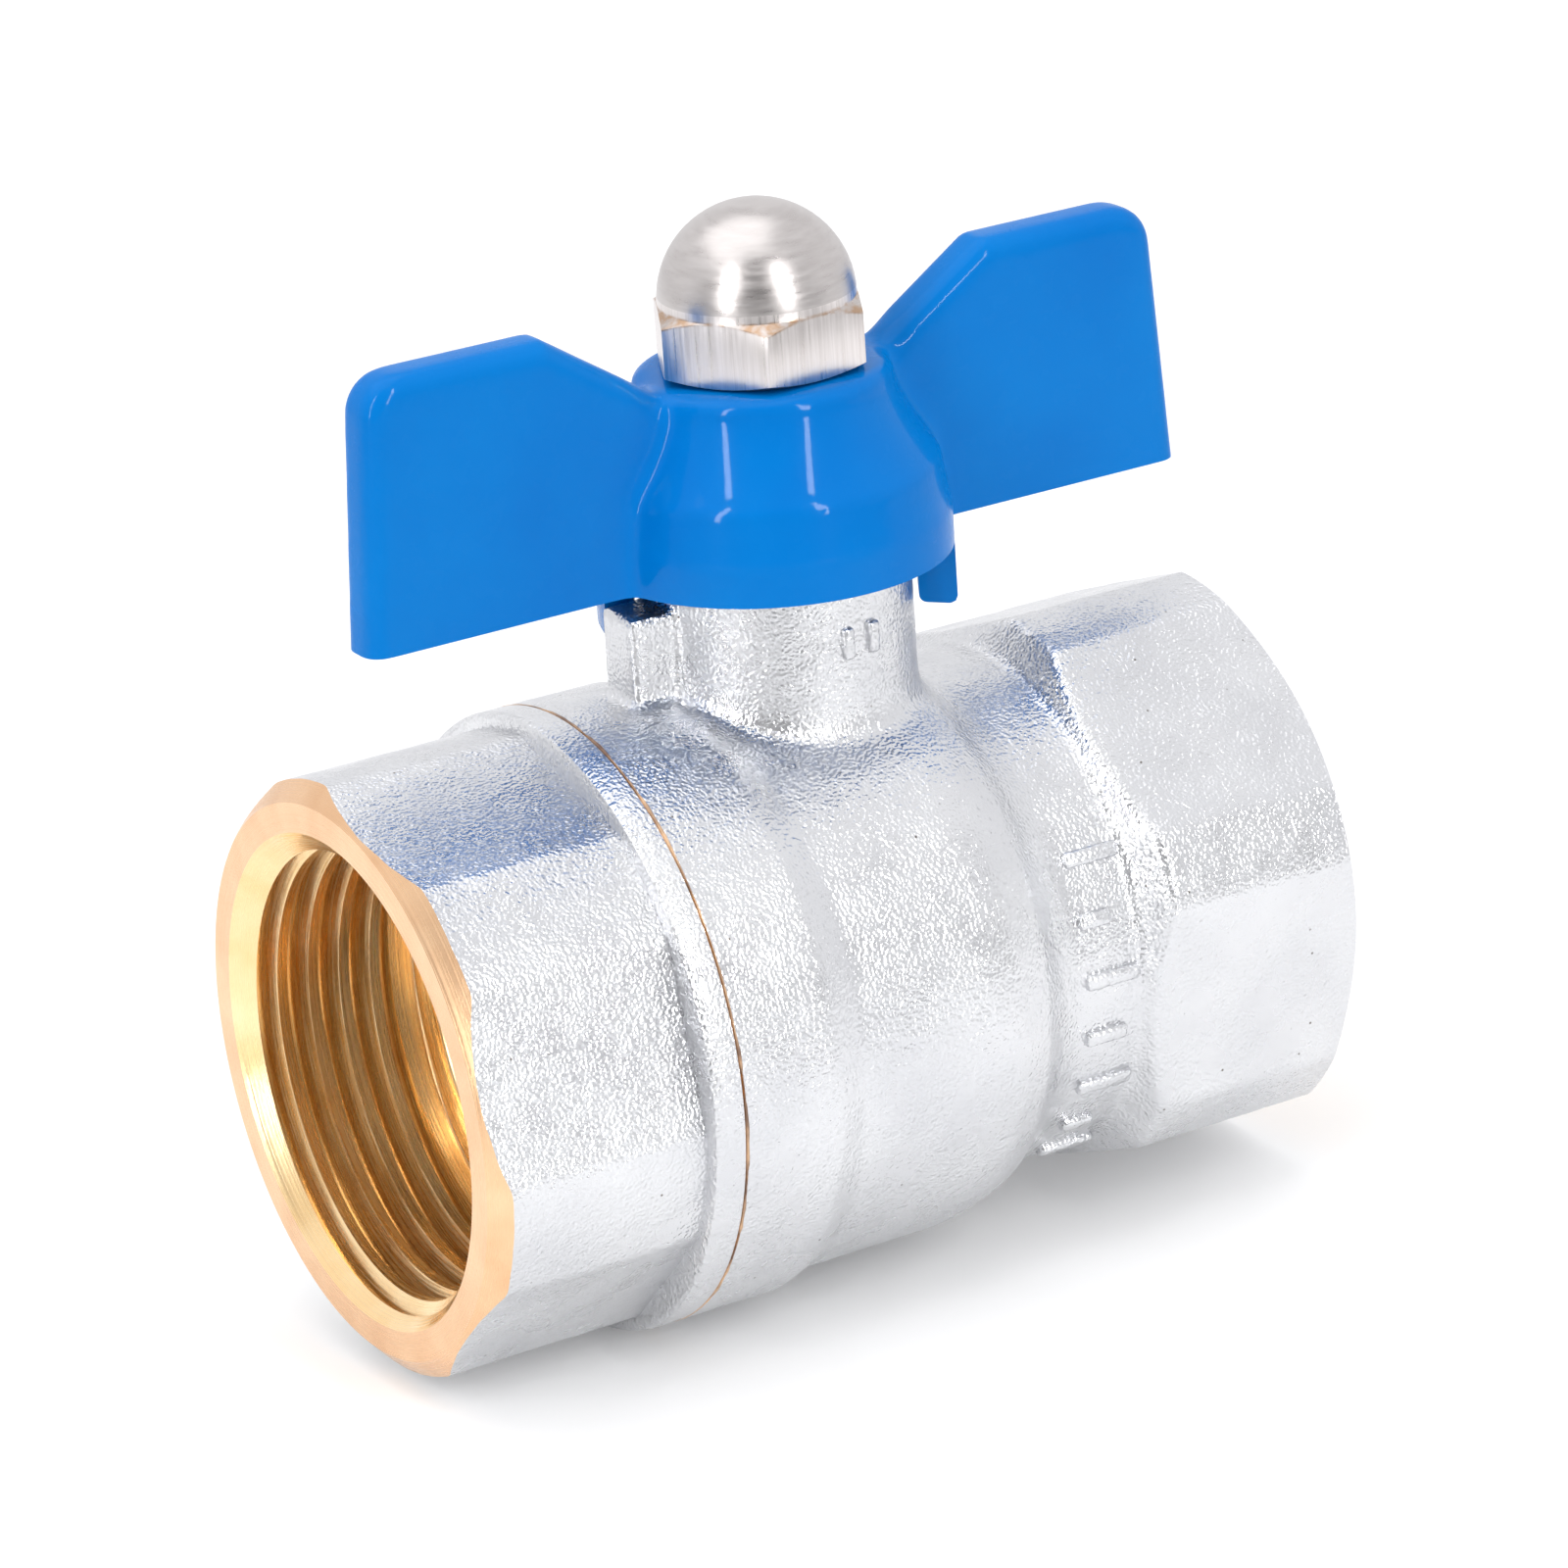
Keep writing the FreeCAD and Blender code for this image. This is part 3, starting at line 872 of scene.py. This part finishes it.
# ---- Seats, washer and packing -----------------------------------------------
# Turned PTFE rings: two seats for the ball, and the washer and packing round the stem.
# They are pressed in or squeezed in place by the connector and the gland nut.
def turned_ptfe():
    """Waxy white plastic, a little cloudy."""
    finish, tree, shader = start_finish("turned_ptfe", (0.9, 0.9, 0.87), 0.0, 0.42)
    coordinates = add_node(tree, "ShaderNodeTexCoord").outputs["Object"]
    cloudy = add_noise(tree, coordinates, 4.0, 2.0)
    tone = shade_between(tree, cloudy, (0.84, 0.84, 0.80), (0.94, 0.94, 0.92))
    tree.links.new(tone, shader.inputs["Base Color"])
    shader.inputs["Subsurface Weight"].default_value = 0.1
    shader.inputs["Subsurface Scale"].default_value = 1 * mm
    roughen(tree, shader, add_noise(tree, coordinates, 0.25), 0.01)
    return finish


def refinish(node, finish):
    """Gives a CAD node a new material in every slot it has."""
    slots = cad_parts[node].data.materials
    for number in range(len(slots)):
        slots[number] = finish
    if not slots:
        slots.append(finish)


ptfe_finish = turned_ptfe()
for node in ("inlet_seat", "outlet_seat", "thrust_washer", "stem_packing"):
    refinish(node, ptfe_finish)


# ---- Stem, O-ring and gland nut ----------------------------------------------
# The stem is turned from brass bar, the gland nut from hexagon bar, and the O-ring is a
# moulded rubber ring in the stem's groove. The stem goes in from below, through the ball's side.
def lathe_brass():
    """Bare brass with fine rings round the stem's own axis."""
    finish, tree, shader = start_finish("lathe_brass", (0.88, 0.62, 0.28), 1.0, 0.25)
    coordinates = add_node(tree, "ShaderNodeTexCoord").outputs["Object"]
    flatten = add_node(tree, "ShaderNodeMapping")
    flatten.inputs["Scale"].default_value = (0.05, 0.05, 1)
    tree.links.new(coordinates, flatten.inputs["Vector"])
    rings = add_noise(tree, flatten.outputs[0], 0.12, 2.0)
    tree.links.new(range_between(tree, rings, 0.18, 0.36), shader.inputs["Roughness"])
    cloudy = add_noise(tree, coordinates, 3.0)
    tone = shade_between(tree, cloudy, (0.82, 0.54, 0.22), (0.94, 0.70, 0.36))
    tree.links.new(tone, shader.inputs["Base Color"])
    roughen(tree, shader, rings, 0.012)
    return finish


def moulded_rubber():
    """Black nitrile, slightly dusty."""
    finish, tree, shader = start_finish("moulded_rubber", (0.02, 0.02, 0.02), 0.0, 0.5)
    coordinates = add_node(tree, "ShaderNodeTexCoord").outputs["Object"]
    grain = add_noise(tree, coordinates, 0.3, 3.0)
    tone = shade_between(tree, grain, (0.012, 0.012, 0.013), (0.035, 0.034, 0.034))
    tree.links.new(tone, shader.inputs["Base Color"])
    tree.links.new(range_between(tree, grain, 0.42, 0.6), shader.inputs["Roughness"])
    roughen(tree, shader, grain, 0.01)
    return finish


stem_finish = lathe_brass()
refinish("stem", stem_finish)
refinish("gland_nut", stem_finish)
refinish("stem_o_ring", moulded_rubber())


# ---- Handle ------------------------------------------------------------------
# A die-cast butterfly handle in gloss blue powder coat: two flat wings on a flared hub,
# with a tab each side that stops against the body's lugs. It sits on the stem's two flats.
handle_bottom = 28.5
handle_top = 41.2
skirt_radius = 11.85
skirt_top = 31.0
skirt_bore = 10.05
crease = 34.6
crease_radius = 11.3
hub_top_radius = 8.5
hub_top_edge = 0.6
hub_roof = 3.7
flare_power = 1.5
flare_steps = 9
casting_excess = 2
wing_tip = 30.8
wing_draft = 1.1
wing_top = 46.5
wing_inner_top = 16.5
wing_thickness = 4.0
wing_edge = 1.3
wing_corner = 2.8
wing_overlap = 1.5
root_rounds = 50
stud_radius = 4.05
stud_flats = 3.15
drive_start = 34
drive_end = 44
tab_distance = 9.3
tab_bottom = 24.2
tab_angle = 150
tab_gap = 2.3
tab_round = 0.5
tab_edge = 0.15
tab_root = handle_bottom + 1.8
handle_voxel = 0.27


def powder_coat():
    """Gloss blue coating: even colour, faint orange peel, a few rubbed and cloudy places."""
    finish, tree, shader = start_finish("powder_coat", (0.0, 0.17, 0.6), 0.0, 0.28)
    coordinates = add_node(tree, "ShaderNodeTexCoord").outputs["Object"]
    drift = add_noise(tree, coordinates, 14.0, 3.0)
    tone = shade_between(tree, drift, (0.0, 0.135, 0.46), (0.0, 0.162, 0.505))
    tree.links.new(tone, shader.inputs["Base Color"])
    rubbed = add_noise(tree, coordinates, 2.0, 3.0)
    tree.links.new(range_between(tree, rubbed, 0.18, 0.32), shader.inputs["Roughness"])
    shader.inputs["Specular IOR Level"].default_value = 0.02
    shader.inputs["Coat Weight"].default_value = 0.18
    shader.inputs["Coat Roughness"].default_value = 0.05
    peel = roughen(tree, shader, add_noise(tree, coordinates, 0.9, 1.0), 0.012)
    roughen(tree, shader, add_noise(tree, coordinates, 0.2, 1.0), 0.003, below=peel)
    return finish


def hub_radius(height):
    """The hub's outside at a height: a straight skirt, drawn in to a crease, and a flare."""
    if height < skirt_top:
        return skirt_radius
    if height < crease:
        climb = (height - skirt_top) / (crease - skirt_top)
        return skirt_radius - (skirt_radius - crease_radius) * climb
    flare_end = handle_top - 1
    drop = max(0, (flare_end - height) / (flare_end - crease))
    return hub_top_radius + (crease_radius - hub_top_radius) * drop ** flare_power


casting_bottom = handle_bottom - casting_excess
hub_points = [(0, casting_bottom), (skirt_radius, casting_bottom), (skirt_radius, skirt_top)]
for step in range(flare_steps + 1):
    height = crease + (handle_top - 0.5 - crease) * step / flare_steps
    hub_points.append((hub_radius(height), height))
hub_points += [(hub_top_radius - hub_top_edge, handle_top), (0, handle_top)]
handle = turn_along_z("handle_casting", hub_points)

tip_top = wing_tip - wing_draft
slope = (wing_top - handle_top) / (wing_inner_top - hub_top_radius)
root_height = wing_top - slope * (wing_inner_top - hub_top_radius + wing_overlap)
wing_points = [(0, casting_bottom), (wing_tip + 0.12, casting_bottom)]
for degrees in range(0, 91, 15):
    swing = math.radians(degrees)
    wing_points.append((
        tip_top - wing_corner + wing_corner * math.cos(swing),
        wing_top - wing_corner + wing_corner * math.sin(swing),
    ))
wing_points += [
    (wing_inner_top, wing_top),
    (hub_top_radius - wing_overlap, root_height),
    (0, root_height),
]
for side in (1, -1):
    wing = draw_outline(
        "wing", wing_points, lambda x, z: Vector((side * x, -wing_thickness / 2, z)))
    bpy.ops.mesh.edge_face_add()
    bpy.ops.mesh.extrude_region_move(TRANSFORM_OT_translate={"value": (0, wing_thickness * mm, 0)})
    weld()
    use(
        wing, "BEVEL", width=wing_edge * mm, segments=5, limit_method="ANGLE",
        angle_limit=math.radians(60),
    )
    combine(handle, wing, "UNION")


def near_wing_root(point):
    """How close a point in mm is to where a wing grows out of the hub."""
    if point.z >= wing_top - 2:
        return 0
    from_wing = abs(abs(point.y) - wing_thickness / 2)
    from_hub = abs(math.hypot(point.x, point.y) - hub_radius(point.z))
    return 1.5 - max(from_wing, from_hub) / 1.5


use(handle, "REMESH", mode="VOXEL", voxel_size=handle_voxel * mm)
use(handle, "SMOOTH", factor=0.5, iterations=6)
soften(handle, root_rounds, near_wing_root)
hub_ceiling = handle_top - hub_roof
below_handle = handle_bottom - 4
hub_hollow = turn_along_z("hub_hollow", [
    (0, below_handle),
    (40, below_handle),
    (40, handle_bottom),
    (skirt_bore, handle_bottom),
    (skirt_bore, skirt_top + 0.5),
    (hub_top_radius - 1.5, hub_ceiling),
    (0, hub_ceiling),
])
combine(handle, hub_hollow, "DIFFERENCE")
drive_hole = turn_along_z("drive_hole", [
    (0, drive_start),
    (stud_radius, drive_start),
    (stud_radius, drive_end),
    (0, drive_end),
])
drive_flats = block(
    "drive_flats", (20, 2 * stud_flats, 20), (0, 0, (drive_start + drive_end) / 2))
combine(drive_hole, drive_flats, "INTERSECT")
combine(handle, drive_hole, "DIFFERENCE")

for turn in (0, 180):
    tab = turn_along_z("tab", [
        (0, tab_bottom),
        (skirt_radius - tab_round, tab_bottom),
        (skirt_radius - tab_edge, tab_bottom + tab_edge),
        (skirt_radius, tab_bottom + tab_round),
        (skirt_radius, tab_root),
        (0, tab_root),
    ])
    plate = block("tab_plate", (10, 20, 10), (tab_distance + 5, 0, tab_bottom + 5), tab_angle)
    use(plate, "BEVEL", width=tab_round * mm, segments=4)
    combine(tab, plate, "INTERSECT")
    bpy.ops.object.select_all(action="DESELECT")
    tab.select_set(True)
    bpy.context.view_layer.objects.active = tab
    bpy.ops.object.mode_set(mode="EDIT")
    for facing in (90, 180 + closed_lug_angle):
        outwards = Vector((math.cos(math.radians(facing)), math.sin(math.radians(facing)), 0))
        bpy.ops.mesh.select_all(action="SELECT")
        bpy.ops.mesh.bisect(
            plane_co=outwards * tab_gap * mm, plane_no=outwards, use_fill=True, clear_inner=True)
    weld()
    tab.data.transform(Matrix.Rotation(math.radians(turn), 4, "Z"))
    combine(handle, tab, "UNION")
finish_all(handle, powder_coat())
settle(handle, 45)
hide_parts("handle")
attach(handle, "stem_and_handle")


# ---- Cap nut -----------------------------------------------------------------
# A dome nut turned from hexagon bar: the dome shows the lathe's rings, the flats the
# bar's drawing lines, with a little brown residue where they meet. It holds the handle down.
nut_flats = 13.0
nut_hex_height = 4.5
nut_edge = 0.6
nut_foot_inset = 0.5
nut_corner_angle = 4
nut_cone = 0.6
nut_bore_start = 40
nut_bore_end = 48.2
nut_bore_tip = 48.8
residue_colour = (0.42, 0.26, 0.15, 1)
residue_strength = 0.85
residue_start = 0.02
residue_end = 0.16


def nut_steel(name, tool_marks, mark_size, mark_depth, light, dark):
    """Plated steel with tool marks along a direction, stained brown where dome meets flats."""
    finish, tree, shader = start_finish(name, light, 1.0, 0.3)
    coordinates = add_node(tree, "ShaderNodeTexCoord").outputs["Object"]
    split = add_node(tree, "ShaderNodeSeparateXYZ")
    tree.links.new(coordinates, split.inputs[0])
    drawn = add_node(tree, "ShaderNodeMapping")
    drawn.inputs["Scale"].default_value = tool_marks
    tree.links.new(coordinates, drawn.inputs["Vector"])
    lines = add_noise(tree, drawn.outputs[0], mark_size, 3.0)
    metal = shade_between(tree, lines, dark, light, 0.35, 0.65)
    outward = add_node(tree, "ShaderNodeVectorMath", {"operation": "MULTIPLY"})
    outward.inputs[1].default_value = (1, 1, 0)
    tree.links.new(coordinates, outward.inputs[0])
    radius = add_node(tree, "ShaderNodeVectorMath", {"operation": "LENGTH"})
    tree.links.new(outward.outputs[0], radius.inputs[0])
    drop = add_node(tree, "ShaderNodeMath", {"operation": "MULTIPLY_ADD"})
    drop.inputs[1].default_value = nut_cone
    drop.inputs[2].default_value = -(handle_top + nut_hex_height + nut_cone * nut_flats / 2) * mm
    tree.links.new(radius.outputs["Value"], drop.inputs[0])
    away = add_node(tree, "ShaderNodeMath", {"operation": "ADD"})
    tree.links.new(split.outputs["Z"], away.inputs[0])
    tree.links.new(drop.outputs[0], away.inputs[1])
    distance = add_node(tree, "ShaderNodeMath", {"operation": "ABSOLUTE"})
    tree.links.new(away.outputs[0], distance.inputs[0])
    near = range_between(
        tree, distance.outputs[0], residue_strength, 0.0, residue_start * mm, residue_end * mm)
    patchy = range_between(tree, add_noise(tree, coordinates, 0.9, 4.0), 0.1, 1.0, 0.40, 0.60)
    residue = add_node(tree, "ShaderNodeMath", {"operation": "MULTIPLY"})
    tree.links.new(near, residue.inputs[0])
    tree.links.new(patchy, residue.inputs[1])
    mixed = add_node(tree, "ShaderNodeMix", {"data_type": "RGBA"})
    mixed.inputs[7].default_value = residue_colour
    tree.links.new(residue.outputs[0], mixed.inputs[0])
    tree.links.new(metal, mixed.inputs[6])
    tree.links.new(mixed.outputs[2], shader.inputs["Base Color"])
    tree.links.new(range_between(tree, lines, 0.26, 0.36), shader.inputs["Roughness"])
    marks = roughen(tree, shader, lines, mark_depth)
    roughen(tree, shader, add_noise(tree, coordinates, 0.4), 0.006, below=marks)
    return finish


dome_radius = nut_flats / 2
nut_corner = dome_radius / math.cos(math.radians(30))
shoulder = handle_top + nut_hex_height
nut_points = [
    (0, handle_top),
    (dome_radius - nut_foot_inset, handle_top),
    (nut_corner, handle_top + nut_edge),
    (nut_corner, shoulder - (nut_corner - dome_radius) * nut_cone),
]
for degrees in range(0, 91, 5):
    swing = math.radians(degrees)
    nut_points.append((dome_radius * math.cos(swing), shoulder + dome_radius * math.sin(swing)))
nut = turn_along_z("dome_nut", nut_points, 120)
bpy.ops.object.select_all(action="DESELECT")
bpy.ops.mesh.primitive_cylinder_add(
    vertices=6, radius=nut_corner * mm, depth=30 * mm, location=(0, 0, shoulder * mm))
hexagon = bpy.context.object
bpy.ops.object.transform_apply(location=True, rotation=True, scale=True)
corner = hexagon.data.vertices[0].co
hexagon.data.transform(
    Matrix.Rotation(math.radians(nut_corner_angle) - math.atan2(corner.y, corner.x), 4, "Z"))
combine(nut, hexagon, "INTERSECT")
nut_thread = turn_along_z("nut_thread", [
    (0, nut_bore_start),
    (stud_radius, nut_bore_start),
    (stud_radius, nut_bore_end),
    (0, nut_bore_tip),
])
combine(nut, nut_thread, "DIFFERENCE")
use(
    nut, "BEVEL", width=0.12 * mm, segments=2, limit_method="ANGLE",
    angle_limit=math.radians(25),
)
# Painted shade: the dome's steel gets a darker colour than the flats' steel, to dim its
# highlights.
dome_steel_painted_shade = nut_steel(
    "nut_dome_painted_shade", (0.15, 0.15, 1), 0.3, 0.003, (0.56, 0.53, 0.52), (0.50, 0.47, 0.46))
flats_steel = nut_steel(
    "nut_flats", (1, 1, 0.03), 0.2, 0.005, (0.74, 0.70, 0.69), (0.62, 0.58, 0.565))
finish_all(nut, dome_steel_painted_shade)
nut.data.materials.append(flats_steel)
for face in nut.data.polygons:
    if abs(face.normal.z) < 0.05:
        face.material_index = 1
settle(nut, 22)
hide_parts("cap_nut")
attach(nut, "stem_and_handle")
